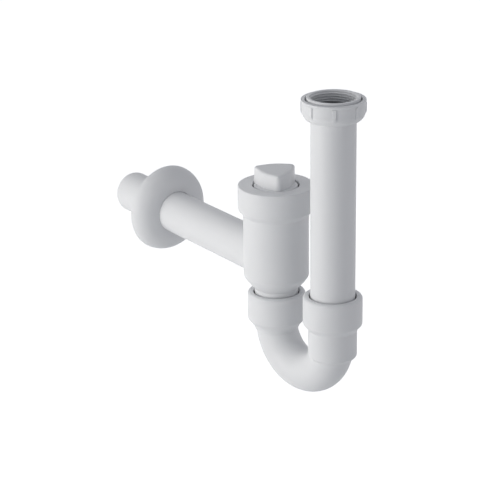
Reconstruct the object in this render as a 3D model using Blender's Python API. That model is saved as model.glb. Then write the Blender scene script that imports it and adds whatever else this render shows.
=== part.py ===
"""Tubular trap for a washbasin: inlet tube with union nut, swivelling U-bend, trap body with outlet pipe
and cleaning plug, and a wall rosette. Metres, +Z up. The origin is the centre of the outlet pipe's wall end,
and the outlet pipe runs from there along +X to the trap body."""

import math

import bmesh
import bpy
from mathutils import Matrix, Vector

MM = 0.001

# Waste pipe, the size of the outlet, the neck, the inlet tube and the plug
PIPE_D = 40.0 * MM
PIPE_WALL = 1.8 * MM
PIPE_END_CHAMFER = 2.5 * MM
PIPE_END_TAPER = 0.7 * MM

# Fits
GUIDE_GAP = 0.35 * MM
SEAT_GAP = 0.3 * MM

# Push-fit socket with a groove for a lip seal
SOCKET_STAND = 6.65 * MM
SOCKET_LENGTH = 26.2 * MM
SOCKET_RIM_ROUND = 2.8 * MM
SOCKET_CHAMFER_HEIGHT = 5.4 * MM
MOUTH_GAP = 2.0 * MM
MOUTH_LENGTH = 3.6 * MM
GROOVE_SKIN = 2.0 * MM
GROOVE_LENGTH = 8.0 * MM

# Lip seal
SEAL_WALL = 1.5 * MM
SEAL_LIP_THICKNESS = 1.1 * MM

# Trap body: chamber, neck and outlet pipe
OUTLET_REACH = 245.5 * MM
CHAMBER_D = 59.8 * MM
CHAMBER_WALL = 2.0 * MM
CHAMBER_BOTTOM_DROP = 25.3 * MM
CHAMBER_CONE_HEIGHT = 11.6 * MM
CHAMBER_CONE_SWELL = 0.6 * MM
NECK_LENGTH = 30.7 * MM

# Top of the trap body: a wider collar with the plug's socket hanging inside it
COLLAR_TOP_RISE = 73.0 * MM
COLLAR_D = 69.0 * MM
COLLAR_SIDE = 22.8 * MM
COLLAR_CHAMFER_HEIGHT = 5.0 * MM
COLLAR_PLATE = 4.0 * MM
COLLAR_EDGE_ROUND = 1.8 * MM
PLUG_SEAT_LEDGE = 2.0 * MM
PLUG_SEAT_THICKNESS = 2.0 * MM

# Cleaning plug with a three-cornered grip
PLUG_LENGTH = 26.0 * MM
PLUG_WALL = 2.0 * MM
PLUG_EDGE_ROUND = 0.6 * MM
GRIP_HEIGHT = 15.6 * MM
GRIP_CORNER_REACH = 19.9 * MM
GRIP_CORNER_ROUND = 6.0 * MM
GRIP_SIDE_SWELL = 1.4 * MM
GRIP_EDGE_ROUND = 2.4 * MM
GRIP_DRAFT = 1.0 * MM
GRIP_TURN = 91.0

# U-bend
NECK_SHOW = 4.2 * MM
SWIVEL_AT_REST = 5.9
BEND_SPREAD = 74.6 * MM
BEND_PIPE_D = 38.2 * MM
BEND_PIPE_WALL = 1.8 * MM
BEND_BELOW_SOCKET = 3.4 * MM
THROAT_HEIGHT = 5.7 * MM
THROAT_STAND = 0.3 * MM
NECK_STOP_SPARE = 4.5 * MM
INLET_SOCKET_RISE = 16.9 * MM
SLEEVE_STAND = 2.0 * MM
SLEEVE_PAST_BEND = 9.9 * MM
SLEEVE_FOOT_HEIGHT = 2.6 * MM
SLEEVE_FLOOR = 1.2 * MM

# Inlet tube
INLET_TUBE_LENGTH = 210.4 * MM
INLET_INSERTION = 41.6 * MM
TUBE_COLLAR_STAND = 1.9 * MM
TUBE_COLLAR_THICKNESS = 2.6 * MM
SNAP_BEAD_STAND = 0.7 * MM
SNAP_BEAD_LENGTH = 1.0 * MM

# Union nut for a G 1 1/4 thread and its gasket
NUT_RIM_D = 56.4 * MM
NUT_THREAD_BORE = 38.95 * MM
NUT_FLOOR = 2.8 * MM
NUT_SIDE = 12.4 * MM
NUT_CHAMFER_HEIGHT = 5.2 * MM
NUT_CHAMFER_INSET = 4.2 * MM
NUT_CHAMFER_SWELL = 0.7 * MM
NUT_RING_D = 45.7 * MM
NUT_RING_RISE = 2.2 * MM
NUT_RIM_WALL = 2.9 * MM
NUT_RIM_ROUND = 1.1 * MM
NUT_GROOVE_DEPTH = 7.5 * MM
NUT_RELIEF_HEIGHT = 6.4 * MM
NUT_RIBS = 8
NUT_RIB_ROUND = 2.6 * MM
NUT_RIB_STAND = 0.6 * MM
NUT_RIB_BELOW_RIM = 2.7 * MM
NUT_RIB_TURN = 3.0
GASKET_WIDTH = 2.4 * MM
GASKET_THICKNESS = 2.5 * MM

# Wall rosette
ROSETTE_D = 85.5 * MM
ROSETTE_DEPTH = 17.0 * MM
ROSETTE_WALL = 2.0 * MM
ROSETTE_BORE_GAP = 0.6 * MM
ROSETTE_LIP_ROUND = 2.4 * MM
ROSETTE_FROM_END = 62.0 * MM

# Facets of a full turn, of the bend's sweep and of a small rounding
ROUND_STEPS = 36
BEND_STEPS = 16
EDGE_STEPS = 4

# Sizes worked out from the ones above
PIPE_R = PIPE_D / 2
PIPE_BORE_R = PIPE_R - PIPE_WALL
GUIDE_R = PIPE_R + GUIDE_GAP
MOUTH_R = PIPE_R + MOUTH_GAP
SOCKET_R = PIPE_R + SOCKET_STAND
GROOVE_R = SOCKET_R - GROOVE_SKIN
CHAMBER_R = CHAMBER_D / 2
CHAMBER_BORE_R = CHAMBER_R - CHAMBER_WALL
COLLAR_R = COLLAR_D / 2
BEND_R = BEND_PIPE_D / 2
BEND_BORE_R = BEND_R - BEND_PIPE_WALL
SLEEVE_R = PIPE_R + SLEEVE_STAND

# Heights above the outlet axis
COLLAR_TOP_Z = COLLAR_TOP_RISE
COLLAR_SHOULDER_Z = COLLAR_TOP_Z - COLLAR_SIDE
COLLAR_FOOT_Z = COLLAR_SHOULDER_Z - COLLAR_CHAMFER_HEIGHT
CHAMBER_BOTTOM_Z = -CHAMBER_BOTTOM_DROP
CONE_TOP_Z = CHAMBER_BOTTOM_Z + CHAMBER_CONE_HEIGHT
NECK_END_Z = CHAMBER_BOTTOM_Z - NECK_LENGTH
NECK_SOCKET_TOP_Z = CHAMBER_BOTTOM_Z - NECK_SHOW
NECK_STOP_Z = NECK_END_Z - NECK_STOP_SPARE
BEND_CENTRE_Z = NECK_SOCKET_TOP_Z - SOCKET_LENGTH - BEND_BELOW_SOCKET
INLET_SOCKET_TOP_Z = NECK_SOCKET_TOP_Z + INLET_SOCKET_RISE
SLEEVE_END_Z = BEND_CENTRE_Z - SLEEVE_PAST_BEND
TUBE_END_Z = INLET_SOCKET_TOP_Z - INLET_INSERTION
TUBE_TOP_Z = TUBE_END_Z + INLET_TUBE_LENGTH
NUT_FLOOR_TOP_Z = TUBE_TOP_Z - TUBE_COLLAR_THICKNESS - SEAT_GAP
NUT_BOTTOM_Z = NUT_FLOOR_TOP_Z - NUT_FLOOR
NUT_SIDE_BOTTOM_Z = NUT_BOTTOM_Z + NUT_CHAMFER_HEIGHT
NUT_RIM_Z = NUT_SIDE_BOTTOM_Z + NUT_SIDE
NUT_RING_Z = NUT_RIM_Z + NUT_RING_RISE
PLUG_TOP_Z = COLLAR_TOP_Z
PLUG_END_Z = PLUG_TOP_Z - PLUG_LENGTH
ROSETTE_LIP_X = ROSETTE_FROM_END + ROSETTE_DEPTH


def clear_scene():
    """Removes whatever the scene starts with."""
    for old in list(bpy.data.objects):
        bpy.data.objects.remove(old, do_unlink=True)


def plastic(name, colour, roughness):
    """A Principled material for one piece."""
    material = bpy.data.materials.new(name)
    material.use_nodes = True
    shader = material.node_tree.nodes["Principled BSDF"]
    shader.inputs["Base Color"].default_value = (*colour, 1.0)
    shader.inputs["Roughness"].default_value = roughness
    shader.inputs["Metallic"].default_value = 0.0
    material.diffuse_color = (*colour, 1.0)
    return material


def white_plastic(name):
    return plastic(name, (0.72, 0.73, 0.74), 0.45)


def black_rubber(name):
    return plastic(name, (0.03, 0.03, 0.03), 0.7)


def arc(centre, radius, start, end, steps=EDGE_STEPS):
    """Points of an arc in the (radius, height) plane, from start to end in degrees, both included.
    The radius is one number, or a pair for an ellipse."""
    wide, high = radius if isinstance(radius, tuple) else (radius, radius)
    angles = [math.radians(start + (end - start) * i / steps) for i in range(steps + 1)]
    return [(centre[0] + wide * math.cos(a), centre[1] + high * math.sin(a)) for a in angles]


def swell(start, end, height, steps=EDGE_STEPS):
    """Points from start to end along a line that bows out to its right by the given height, without start."""
    run, rise = end[0] - start[0], end[1] - start[1]
    length = math.hypot(run, rise)
    points = []
    for i in range(1, steps + 1):
        t = i / steps
        bow = 4 * height * t * (1 - t)
        points.append((start[0] + run * t + bow * rise / length, start[1] + rise * t - bow * run / length))
    return points


def finish_mesh(name, bm, material, parent=None, location=(0, 0, 0)):
    """Makes an object of a closed bmesh, shaded smooth with sharp edges kept."""
    bmesh.ops.recalc_face_normals(bm, faces=bm.faces)
    mesh = bpy.data.meshes.new(name)
    bm.to_mesh(mesh)
    bm.free()
    mesh.shade_smooth()
    mesh.set_sharp_from_angle(angle=math.radians(30))
    piece = bpy.data.objects.new(name, mesh)
    bpy.context.scene.collection.objects.link(piece)
    piece.location = location
    piece.parent = parent
    if material:
        mesh.materials.append(material)
    return piece


def turned(name, outline, material=None, parent=None, location=(0, 0, 0), along_x=False):
    """Turns a closed outline of (radius, height) points round the Z axis, or round X for along_x."""
    bm = bmesh.new()
    points = [bm.verts.new((r, 0, z)) for r, z in outline]
    edges = [bm.edges.new((a, b)) for a, b in zip(points, points[1:] + points[:1])]
    bmesh.ops.spin(
        bm,
        geom=points + edges,
        cent=(0, 0, 0),
        axis=(0, 0, 1),
        angle=math.tau,
        steps=ROUND_STEPS,
        use_merge=True,
    )
    bmesh.ops.remove_doubles(bm, verts=bm.verts, dist=1e-6)
    if along_x:
        bmesh.ops.rotate(bm, verts=bm.verts, matrix=Matrix.Rotation(math.pi / 2, 3, "Y"))
    return finish_mesh(name, bm, material, parent, location)


def swept_bend(name, radius, overrun, parent):
    """A solid half ring of round section, from the neck leg to the inlet leg, with a straight overrun up each."""
    centre = Vector((BEND_SPREAD / 2, 0, BEND_CENTRE_Z))
    sweep = BEND_SPREAD / 2
    bm = bmesh.new()
    rings = []
    for i in range(-1, BEND_STEPS + 2):
        angle = math.pi * min(max(i, 0), BEND_STEPS) / BEND_STEPS
        out = Vector((-math.cos(angle), 0, -math.sin(angle)))
        lift = Vector((0, 0, overrun if i < 0 or i > BEND_STEPS else 0))
        ring = []
        for k in range(ROUND_STEPS):
            turn = math.tau * k / ROUND_STEPS
            around = out * math.cos(turn) + Vector((0, 1, 0)) * math.sin(turn)
            ring.append(bm.verts.new(centre + out * sweep + around * radius + lift))
        rings.append(ring)
    for low, high in zip(rings, rings[1:]):
        for k in range(ROUND_STEPS):
            nxt = (k + 1) % ROUND_STEPS
            bm.faces.new((low[k], low[nxt], high[nxt], high[k]))
    bm.faces.new(rings[0])
    bm.faces.new(rings[-1])
    return finish_mesh(name, bm, None, parent)


def join(target, other):
    """Unites a helper solid with the target."""
    boolean(target, other, "UNION")


def cut(target, cutter):
    """Cuts a helper solid out of the target."""
    boolean(target, cutter, "DIFFERENCE")


def boolean(target, helper, operation):
    helper.hide_render = True
    helper.display_type = "WIRE"
    modifier = target.modifiers.new(helper.name, "BOOLEAN")
    modifier.operation = operation
    modifier.solver = "EXACT"
    modifier.object = helper


def axis_empty(name, location, parent=None, turn=0.0):
    """An empty on an axis that pieces turn about or slide along."""
    empty = bpy.data.objects.new(name, None)
    bpy.context.scene.collection.objects.link(empty)
    empty.empty_display_size = 0.02
    empty.location = location
    empty.rotation_euler = (0, 0, math.radians(turn))
    empty.parent = parent
    return empty


def pipe_end(radius, wall, end_z):
    """Outside to inside points of a pipe end that points down, with its outer edge tapered."""
    return [
        (radius, end_z + PIPE_END_CHAMFER),
        (radius - PIPE_END_TAPER, end_z),
        (radius - wall, end_z),
    ]


def socket_inside(top_z):
    """Points of a push-fit socket's inside, from the rim down to the guide bore below the seal groove."""
    groove_top = top_z - MOUTH_LENGTH
    groove_bottom = groove_top - GROOVE_LENGTH
    return [
        (MOUTH_R + SEAT_GAP, top_z),
        (MOUTH_R, top_z - SEAT_GAP),
        (MOUTH_R, groove_top),
        (GROOVE_R, groove_top),
        (GROOVE_R, groove_bottom),
        (GUIDE_R, groove_bottom),
    ]


def socket_outside(top_z):
    """Points of a push-fit socket's outside, from the rim's rounding up to its flat top."""
    round_centre = (SOCKET_R - SOCKET_RIM_ROUND, top_z - SOCKET_RIM_ROUND)
    return arc(round_centre, SOCKET_RIM_ROUND, 0, 90)


def make_lip_seal(name, socket_top_z, parent, location=(0, 0, 0)):
    """A rubber ring that fills the groove and leans a thin lip down against the pipe."""
    top = socket_top_z - MOUTH_LENGTH - SEAT_GAP
    bottom = top - GROOVE_LENGTH + 2 * SEAT_GAP
    outer = GROOVE_R - SEAT_GAP
    inner = outer - SEAL_WALL
    lip_r = PIPE_R + SEAT_GAP
    outline = [
        (outer, bottom),
        (outer, top),
        (lip_r + SEAL_LIP_THICKNESS, top),
        (lip_r + SEAT_GAP, top - SEAL_LIP_THICKNESS),
        (lip_r, bottom + SEAL_LIP_THICKNESS),
        (lip_r + SEAT_GAP, bottom),
        (lip_r + SEAL_LIP_THICKNESS, bottom + SEAT_GAP),
        (inner, top - 2 * SEAL_LIP_THICKNESS),
        (inner, bottom),
    ]
    return turned(name, outline, black_rubber(name), parent, location)


def make_trap_body():
    """Collar, chamber, neck and outlet pipe: hollow, with the plug's socket hanging inside the collar."""
    place = (OUTLET_REACH, 0, 0)
    foot = (PIPE_R, CHAMBER_BOTTOM_Z)
    edge_centre = (COLLAR_R - COLLAR_EDGE_ROUND, COLLAR_TOP_Z - COLLAR_EDGE_ROUND)
    outline = [(0, NECK_END_Z), (PIPE_R - PIPE_END_TAPER, NECK_END_Z), (PIPE_R, NECK_END_Z + PIPE_END_CHAMFER), foot]
    outline += swell(foot, (CHAMBER_R, CONE_TOP_Z), CHAMBER_CONE_SWELL)
    outline += [(CHAMBER_R, COLLAR_FOOT_Z), (COLLAR_R, COLLAR_SHOULDER_Z)]
    outline += arc(edge_centre, COLLAR_EDGE_ROUND, 0, 90)
    outline += [(0, COLLAR_TOP_Z)]
    body = turned("trap_body", outline, white_plastic("trap_body"), None, place)

    end_r = PIPE_R - PIPE_END_TAPER
    outlet = [(0, 0), (end_r, 0), (PIPE_R, PIPE_END_CHAMFER), (PIPE_R, OUTLET_REACH), (0, OUTLET_REACH)]
    join(body, turned("outlet_pipe", outlet, along_x=True))

    seat_z = PLUG_END_Z - SEAT_GAP
    ledge_r = GUIDE_R - PLUG_SEAT_LEDGE
    ledge_z = seat_z - PLUG_SEAT_THICKNESS
    hollow_r = COLLAR_R - CHAMBER_WALL
    plate_z = COLLAR_TOP_Z - COLLAR_PLATE
    past_end = NECK_END_Z - CHAMBER_WALL
    bore_foot = (PIPE_BORE_R, CHAMBER_BOTTOM_Z)
    bore = [(0, past_end), (PIPE_BORE_R, past_end), bore_foot]
    bore += swell(bore_foot, (CHAMBER_BORE_R, CONE_TOP_Z), CHAMBER_CONE_SWELL)
    bore += [(CHAMBER_BORE_R, COLLAR_FOOT_Z), (hollow_r, COLLAR_SHOULDER_Z), (hollow_r, plate_z)]
    bore += [(SOCKET_R, plate_z), (SOCKET_R, seat_z), (SOCKET_R - PLUG_SEAT_LEDGE, ledge_z), (0, ledge_z)]
    cut(body, turned("chamber_bore", bore, None, None, place))

    past_top = COLLAR_TOP_Z + PIPE_WALL
    socket = [(0, past_top), (MOUTH_R + SEAT_GAP, past_top)] + socket_inside(COLLAR_TOP_Z)
    socket += [(GUIDE_R, seat_z), (ledge_r, seat_z), (ledge_r, ledge_z - PIPE_WALL), (0, ledge_z - PIPE_WALL)]
    cut(body, turned("plug_bore", socket, None, None, place))

    outlet_bore = [(0, -PIPE_WALL), (PIPE_BORE_R, -PIPE_WALL), (PIPE_BORE_R, OUTLET_REACH), (0, OUTLET_REACH)]
    cut(body, turned("outlet_bore", outlet_bore, along_x=True))
    return body


def rounded_triangle(inset):
    """Outline of the three-cornered grip, drawn in by the inset: round corners and sides that swell a little."""
    corner_centre = GRIP_CORNER_REACH - GRIP_CORNER_ROUND
    corner_round = GRIP_CORNER_ROUND - inset
    points = []
    for corner in range(3):
        angle = math.tau * corner / 3
        centre = (corner_centre * math.cos(angle), corner_centre * math.sin(angle))
        points += arc(centre, corner_round, math.degrees(angle) - 50, math.degrees(angle) + 50, 2 * EDGE_STEPS)
        next_angle = angle + math.tau / 3
        start_turn = next_angle - math.radians(50)
        ahead = (
            corner_centre * math.cos(next_angle) + corner_round * math.cos(start_turn),
            corner_centre * math.sin(next_angle) + corner_round * math.sin(start_turn),
        )
        points += swell(points[-1], ahead, GRIP_SIDE_SWELL, 2 * EDGE_STEPS)[:-1]
    return points


def grip_prism(name, levels, parent):
    """A three-cornered prism whose outline is drawn in by the given inset at each height in levels."""
    bm = bmesh.new()
    rings = [[bm.verts.new((x, y, z)) for x, y in rounded_triangle(inset)] for z, inset in levels]
    count = len(rings[0])
    for low, high in zip(rings, rings[1:]):
        for k in range(count):
            nxt = (k + 1) % count
            bm.faces.new((low[k], low[nxt], high[nxt], high[k]))
    bm.faces.new(rings[0])
    bm.faces.new(rings[-1])
    bmesh.ops.rotate(bm, verts=bm.verts, matrix=Matrix.Rotation(math.radians(GRIP_TURN), 3, "Z"))
    return finish_mesh(name, bm, None, parent)


def make_cleaning_plug(parent):
    """A hollow spigot with a closed top, and a hollow three-cornered grip standing on it."""
    disc_bottom = PLUG_TOP_Z - PLUG_WALL
    edge_centre = (PIPE_R - PLUG_EDGE_ROUND, PLUG_TOP_Z - PLUG_EDGE_ROUND)
    outline = [(0, disc_bottom), (PIPE_R - PLUG_WALL, disc_bottom), (PIPE_R - PLUG_WALL, PLUG_END_Z)]
    outline += [(PIPE_R - PIPE_END_TAPER, PLUG_END_Z), (PIPE_R, PLUG_END_Z + PIPE_END_CHAMFER)]
    outline += arc(edge_centre, PLUG_EDGE_ROUND, 0, 90, 2)
    outline += [(0, PLUG_TOP_Z)]
    plug = turned("cleaning_plug", outline, white_plastic("cleaning_plug"), parent)

    grip_top = PLUG_TOP_Z + GRIP_HEIGHT
    levels = [(PLUG_TOP_Z - PLUG_WALL / 2, 0.0)]
    for reach, height in arc((0, -GRIP_EDGE_ROUND), GRIP_EDGE_ROUND, 0, 90):
        levels.append((grip_top + height, GRIP_DRAFT + GRIP_EDGE_ROUND - reach))
    join(plug, grip_prism("plug_grip", levels, parent))

    hollow = [(disc_bottom - PLUG_WALL / 2, PLUG_WALL), (grip_top - PLUG_WALL, PLUG_WALL + GRIP_DRAFT)]
    cut(plug, grip_prism("plug_hollow", hollow, parent))
    return plug


def make_u_bend(neck_axis):
    """Two push-fit sockets joined by a half ring of pipe, with a sleeve under the inlet socket."""
    chamfer_top = NECK_SOCKET_TOP_Z - SOCKET_LENGTH
    chamfer_bottom = chamfer_top - SOCKET_CHAMFER_HEIGHT
    throat_end = chamfer_bottom - THROAT_HEIGHT
    overrun = NECK_SOCKET_TOP_Z - BEND_CENTRE_Z - MOUTH_LENGTH
    past_top = NECK_SOCKET_TOP_Z + PIPE_WALL

    outline = [(0, throat_end), (BEND_R + THROAT_STAND, throat_end), (SLEEVE_R, chamfer_bottom)]
    outline += [(SOCKET_R, chamfer_top)] + socket_outside(NECK_SOCKET_TOP_Z) + [(0, NECK_SOCKET_TOP_Z)]
    bend = turned("u_bend", outline, white_plastic("u_bend"), neck_axis)
    join(bend, swept_bend("bend_pipe", BEND_R, overrun, neck_axis))

    inlet_at = (BEND_SPREAD, 0, 0)
    chamfer_top = INLET_SOCKET_TOP_Z - SOCKET_LENGTH
    sleeve = [(0, SLEEVE_END_Z - SLEEVE_FOOT_HEIGHT), (BEND_R + PIPE_END_TAPER, SLEEVE_END_Z - SLEEVE_FOOT_HEIGHT)]
    sleeve += [(SLEEVE_R, SLEEVE_END_Z), (SLEEVE_R, chamfer_top - SOCKET_CHAMFER_HEIGHT), (SOCKET_R, chamfer_top)]
    sleeve += socket_outside(INLET_SOCKET_TOP_Z) + [(0, INLET_SOCKET_TOP_Z)]
    join(bend, turned("inlet_leg", sleeve, None, neck_axis, inlet_at))

    neck_bore = [(0, past_top), (MOUTH_R + SEAT_GAP, past_top)] + socket_inside(NECK_SOCKET_TOP_Z)
    neck_bore += [(GUIDE_R, NECK_STOP_Z), (0, NECK_STOP_Z)]
    cut(bend, turned("neck_bore", neck_bore, None, neck_axis))

    past_top = INLET_SOCKET_TOP_Z + PIPE_WALL
    stop_z = SLEEVE_END_Z + SLEEVE_FLOOR
    inlet_bore = [(0, past_top), (MOUTH_R + SEAT_GAP, past_top)] + socket_inside(INLET_SOCKET_TOP_Z)
    inlet_bore += [(GUIDE_R, stop_z), (0, stop_z)]
    cut(bend, turned("inlet_bore", inlet_bore, None, neck_axis, inlet_at))
    cut(bend, swept_bend("bend_bore", BEND_BORE_R, BEND_PIPE_WALL, neck_axis))
    return bend


def make_inlet_tube(inlet_axis):
    """A straight tube with a collar at its top and a small bead that keeps the nut on it."""
    collar_r = PIPE_R + TUBE_COLLAR_STAND
    collar_bottom = TUBE_TOP_Z - TUBE_COLLAR_THICKNESS
    bead_z = NUT_BOTTOM_Z + NUT_FLOOR / 2
    outline = pipe_end(PIPE_R, PIPE_WALL, TUBE_END_Z)
    outline += [(PIPE_BORE_R, TUBE_TOP_Z), (collar_r, TUBE_TOP_Z), (collar_r, collar_bottom), (PIPE_R, collar_bottom)]
    outline += [(PIPE_R, bead_z + SNAP_BEAD_LENGTH / 2), (PIPE_R + SNAP_BEAD_STAND, bead_z)]
    outline += [(PIPE_R, bead_z - SNAP_BEAD_LENGTH / 2)]
    return turned("inlet_tube", outline, white_plastic("inlet_tube"), inlet_axis)


def make_gasket(inlet_axis):
    """The flat washer between the tube's collar and the basin waste, small enough to pass the nut's thread."""
    bottom = TUBE_TOP_Z + SEAT_GAP
    top = bottom + GASKET_THICKNESS
    outer = NUT_THREAD_BORE / 2 - SEAT_GAP
    inner = outer - GASKET_WIDTH
    outline = [(inner, bottom), (outer, bottom), (outer, top), (inner, top)]
    return turned("inlet_gasket", outline, black_rubber("inlet_gasket"), inlet_axis)


def make_union_nut(inlet_axis):
    """The nut: a threaded inner ring, a cored groove round it, and an outer skirt with grip ribs."""
    rim_r = NUT_RIM_D / 2
    ring_r = NUT_RING_D / 2
    thread_r = NUT_THREAD_BORE / 2
    relief_r = PIPE_R + TUBE_COLLAR_STAND + GUIDE_GAP
    relief_top = NUT_FLOOR_TOP_Z + NUT_RELIEF_HEIGHT
    groove_bottom = NUT_RING_Z - NUT_GROOVE_DEPTH
    hole_r = PIPE_R + SEAT_GAP
    bead_z = NUT_BOTTOM_Z + NUT_FLOOR / 2
    bead_half = SNAP_BEAD_LENGTH / 2 + SEAT_GAP
    round_centre = (rim_r - NUT_RIM_ROUND, NUT_RIM_Z - NUT_RIM_ROUND)
    outline = [
        (hole_r, NUT_FLOOR_TOP_Z),
        (hole_r, bead_z + bead_half),
        (hole_r + SNAP_BEAD_STAND, bead_z),
        (hole_r, bead_z - bead_half),
        (hole_r, NUT_BOTTOM_Z),
        (rim_r - NUT_CHAMFER_INSET, NUT_BOTTOM_Z),
    ]
    outline += swell(outline[-1], (rim_r, NUT_SIDE_BOTTOM_Z), NUT_CHAMFER_SWELL, 3)
    outline += arc(round_centre, NUT_RIM_ROUND, 0, 90, 3)
    outline += [
        (rim_r - NUT_RIM_WALL, NUT_RIM_Z),
        (rim_r - NUT_RIM_WALL, groove_bottom),
        (ring_r, groove_bottom),
        (ring_r, NUT_RING_Z),
        (thread_r, NUT_RING_Z),
        (thread_r, relief_top),
        (relief_r, relief_top),
        (relief_r, NUT_FLOOR_TOP_Z),
    ]
    nut = turned("union_nut", outline, white_plastic("union_nut"), inlet_axis)

    rib_top = NUT_RIM_Z - NUT_RIB_BELOW_RIM
    rib_bottom = NUT_SIDE_BOTTOM_Z - NUT_RIB_ROUND / 2
    rib_axis_r = rim_r + NUT_RIB_STAND - NUT_RIB_ROUND
    bm = bmesh.new()
    for i in range(NUT_RIBS):
        turn = Matrix.Rotation(math.tau * i / NUT_RIBS + math.radians(NUT_RIB_TURN), 4, "Z")
        place = turn @ Matrix.Translation((rib_axis_r, 0, (rib_top + rib_bottom) / 2))
        made = bmesh.ops.create_cone(
            bm,
            cap_ends=True,
            segments=16,
            radius1=NUT_RIB_ROUND,
            radius2=NUT_RIB_ROUND,
            depth=rib_top - rib_bottom,
        )
        bmesh.ops.transform(bm, matrix=place, verts=made["verts"])
    join(nut, finish_mesh("nut_ribs", bm, None, inlet_axis))
    return nut


def make_rosette(outlet_axis):
    """A domed shell that slides on the outlet pipe, its flat edge towards the wall."""
    rim_r = ROSETTE_D / 2
    bore_r = PIPE_R + ROSETTE_BORE_GAP
    lip_r = bore_r + ROSETTE_LIP_ROUND
    dome = arc((lip_r, 0), (rim_r - lip_r, ROSETTE_DEPTH), 0, 90, 2 * EDGE_STEPS)
    lip = arc((lip_r, ROSETTE_DEPTH - ROSETTE_LIP_ROUND), ROSETTE_LIP_ROUND, 90, 180)
    inner_radii = (rim_r - ROSETTE_WALL - lip_r, ROSETTE_DEPTH - ROSETTE_WALL)
    inner = arc((lip_r, 0), inner_radii, 90, 0, 2 * EDGE_STEPS)
    outline = dome + lip[1:] + inner
    return turned("wall_rosette", outline, white_plastic("wall_rosette"), outlet_axis, along_x=True)


def build_trap():
    """Makes every piece on the axis that it turns about or slides along."""
    clear_scene()
    make_trap_body()
    body_axis = axis_empty("body_axis", (OUTLET_REACH, 0, 0))
    make_lip_seal("plug_seal", COLLAR_TOP_Z, body_axis)
    make_cleaning_plug(body_axis)

    neck_axis = axis_empty("neck_axis", (0, 0, 0), body_axis, SWIVEL_AT_REST)
    make_lip_seal("neck_seal", NECK_SOCKET_TOP_Z, neck_axis)
    make_u_bend(neck_axis)

    inlet_axis = axis_empty("inlet_axis", (BEND_SPREAD, 0, 0), neck_axis)
    make_lip_seal("inlet_seal", INLET_SOCKET_TOP_Z, inlet_axis)
    make_inlet_tube(inlet_axis)
    make_gasket(inlet_axis)
    make_union_nut(inlet_axis)

    outlet_axis = axis_empty("outlet_axis", (ROSETTE_FROM_END, 0, 0))
    make_rosette(outlet_axis)


build_trap()
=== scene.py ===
# %% [markdown]
# # A tubular trap for a washbasin
#
# This trap is the pipework under a basin. Water comes down the tall inlet tube, stands in the
# U-bend so that no smell gets back, rises into the trap body and leaves by the long pipe to the
# wall. The measured model is already there: CAD made it, and every moving part of it has its
# joint. This lesson rebuilds each piece in Blender with finer rounds, a real thread and soft
# edges. Then it gives the pieces their plastic and rubber, and lights them like the photograph.
#
# The first cell loads the measured model.

# %% Getting ready
import math

import bmesh
import bpy
from mathutils import Matrix, Vector


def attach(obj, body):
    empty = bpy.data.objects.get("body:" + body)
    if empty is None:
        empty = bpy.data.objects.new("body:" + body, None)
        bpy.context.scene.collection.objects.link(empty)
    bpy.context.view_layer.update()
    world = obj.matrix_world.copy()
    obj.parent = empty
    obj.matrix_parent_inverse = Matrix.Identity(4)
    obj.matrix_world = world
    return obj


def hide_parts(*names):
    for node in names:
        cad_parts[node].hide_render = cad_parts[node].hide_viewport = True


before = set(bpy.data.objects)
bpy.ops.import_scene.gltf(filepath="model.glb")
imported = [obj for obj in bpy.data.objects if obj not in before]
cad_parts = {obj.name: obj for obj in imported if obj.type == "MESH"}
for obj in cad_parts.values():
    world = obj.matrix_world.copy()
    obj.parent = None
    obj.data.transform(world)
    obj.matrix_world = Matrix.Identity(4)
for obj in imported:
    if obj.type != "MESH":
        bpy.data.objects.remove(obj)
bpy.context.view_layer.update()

# %% [markdown]
# ## Drawing a half section
#
# Almost every piece of a trap is round, so it comes from a half section that is turned about an
# axis. A curve could hold that section, but points in edit mode need no conversion and take a
# bevel each. One point is extruded from corner to corner, as by hand. Each corner is (radius,
# height, rounding) in millimetres, and the rounding says how far from the corner its curve
# starts. A vertex bevel then makes the curves, which is how a moulded edge looks.
#
# Faces and corners are picked in code, by their place or by the way they face. It starts from an
# empty selection, because a face that is let go also lets go of the corners of its neighbours.

# %% The pen and the bevel
MM = 0.001
TOUCH = 0.001 * MM
CORNER_SEGMENTS = 6


def select_corners(corners):
    """Selects only the vertices that lie on the given corners of a section."""
    mesh = bmesh.from_edit_mesh(bpy.context.object.data)
    places = [Vector((corner[0], 0, corner[1])) * MM for corner in corners]
    for vertex in mesh.verts:
        vertex.select = any((vertex.co - place).length < TOUCH for place in places)
    mesh.select_flush_mode()
    bmesh.update_edit_mesh(bpy.context.object.data)


def select_faces(wanted):
    """Selects only the faces of the edited mesh that wanted(face) is true for."""
    bpy.ops.mesh.select_all(action="DESELECT")
    mesh = bmesh.from_edit_mesh(bpy.context.object.data)
    for face in mesh.faces:
        if wanted(face):
            face.select = True
    mesh.select_flush_mode()
    bmesh.update_edit_mesh(bpy.context.object.data)


def draw_section(name, corners):
    """Draws the corners as a chain of edges, and closes it unless it starts on the axis."""
    bpy.ops.object.select_all(action="DESELECT")
    bpy.ops.mesh.primitive_plane_add(size=MM)
    piece = bpy.context.object
    piece.name = name
    bpy.ops.object.mode_set(mode="EDIT")
    bpy.ops.mesh.merge(type="CENTER")
    pen = Vector((0, 0, 0))
    for number, corner in enumerate(corners):
        step = Vector((corner[0], 0, corner[1])) * MM - pen
        if number == 0:
            bpy.ops.transform.translate(value=step)
        else:
            bpy.ops.mesh.extrude_region_move(TRANSFORM_OT_translate={"value": step})
        pen += step
    if corners[0][0] > 0:
        select_corners([corners[0], corners[-1]])
        bpy.ops.mesh.edge_face_add()
    return piece


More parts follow.
